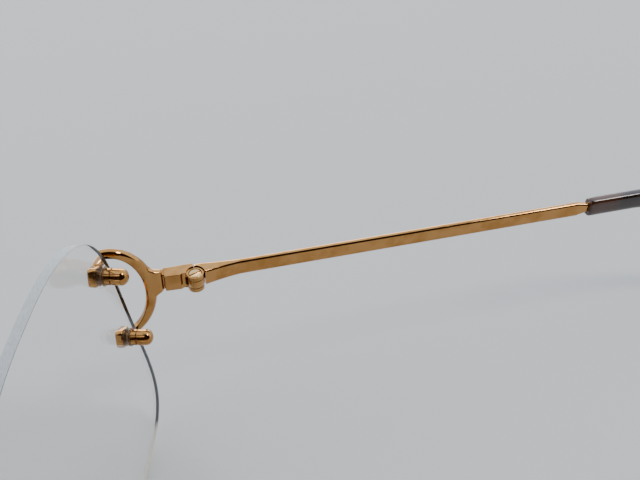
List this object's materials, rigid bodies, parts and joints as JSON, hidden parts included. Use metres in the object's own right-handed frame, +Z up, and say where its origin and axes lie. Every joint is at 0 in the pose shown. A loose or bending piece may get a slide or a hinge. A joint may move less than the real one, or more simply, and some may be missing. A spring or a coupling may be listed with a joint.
{
  "type": "eyeglass frame",
  "caption": "Rimless eyeglass frame with drilled lenses, crescent end brackets, capped lens posts, rocking nose pads and temples that fold inwards.",
  "frame": {"origin": "centre of the bounding box at its bottom, the surface that the open frame stands on", "axes": "+X to the wearer's left, +Y from the lenses to the temple tips, +Z up"},
  "size_m": [0.1496, 0.161, 0.0499],
  "materials": {
    "gold_plate": "polished gold plate, slightly brushed on the inner faces",
    "screw_metal": "polished",
    "lens": "clear, polished edge",
    "washer": "clear",
    "nose_pad": "clear silicone, satin",
    "temple_tip": "polished"
  },
  "bodies": {
    "front": {"left_lens": "lens", "left_end_bracket": "gold_plate", "left_hinge_fork_leaf": "gold_plate", "left_hinge_screw": "screw_metal", "left_upper_temple_post": "screw_metal", "left_upper_temple_front_washer": "washer", "left_upper_temple_rear_washer": "washer", "left_upper_temple_cap_nut": "gold_plate", "left_lower_temple_post": "screw_metal", "left_lower_temple_front_washer": "washer", "left_lower_temple_rear_washer": "washer", "left_lower_temple_cap_nut": "gold_plate", "left_upper_nose_post": "screw_metal", "left_upper_nose_front_washer": "washer", "left_upper_nose_rear_washer": "washer", "left_upper_nose_cap_nut": "gold_plate", "left_lower_nose_post": "screw_metal", "left_lower_nose_front_washer": "washer", "left_lower_nose_rear_washer": "washer", "left_lower_nose_cap_nut": "gold_plate", "left_nose_pad_arm": "gold_plate", "left_nose_pad_screw": "screw_metal", "right_lens": "lens", "right_end_bracket": "gold_plate", "right_hinge_fork_leaf": "gold_plate", "right_hinge_screw": "screw_metal", "right_upper_temple_post": "screw_metal", "right_upper_temple_front_washer": "washer", "right_upper_temple_rear_washer": "washer", "right_upper_temple_cap_nut": "gold_plate", "right_lower_temple_post": "screw_metal", "right_lower_temple_front_washer": "washer", "right_lower_temple_rear_washer": "washer", "right_lower_temple_cap_nut": "gold_plate", "right_upper_nose_post": "screw_metal", "right_upper_nose_front_washer": "washer", "right_upper_nose_rear_washer": "washer", "right_upper_nose_cap_nut": "gold_plate", "right_lower_nose_post": "screw_metal", "right_lower_nose_front_washer": "washer", "right_lower_nose_rear_washer": "washer", "right_lower_nose_cap_nut": "gold_plate", "right_nose_pad_arm": "gold_plate", "right_nose_pad_screw": "screw_metal", "bridge": "gold_plate"},
    "left_temple": {"left_temple": "gold_plate", "left_temple_knuckle": "gold_plate", "left_temple_tip": "temple_tip"},
    "left_nose_pad": {"left_nose_pad": "nose_pad", "left_nose_pad_core": "gold_plate"},
    "right_temple": {"right_temple": "gold_plate", "right_temple_knuckle": "gold_plate", "right_temple_tip": "temple_tip"},
    "right_nose_pad": {"right_nose_pad": "nose_pad", "right_nose_pad_core": "gold_plate"}
  },
  "joints": [
    {"name": "left_temple_hinge", "type": "hinge", "parent": "front", "child": "left_temple", "pos_m": [0.0646, -0.05074, 0.02838], "axis": [0, 0, 1], "range_deg": [0, 94]},
    {"name": "right_temple_hinge", "type": "hinge", "parent": "front", "child": "right_temple", "pos_m": [-0.0646, -0.05074, 0.02838], "axis": [0, 0, -1], "range_deg": [0, 89]},
    {"name": "left_nose_pad_rock", "type": "hinge", "parent": "front", "child": "left_nose_pad", "pos_m": [0.01184, -0.06364, 0.02098], "axis": [0.4695, 0.8829, 0], "range_deg": [-10, 10]},
    {"name": "right_nose_pad_rock", "type": "hinge", "parent": "front", "child": "right_nose_pad", "pos_m": [-0.01184, -0.06364, 0.02098], "axis": [-0.4695, 0.8829, 0], "range_deg": [-10, 10]}
  ]
}
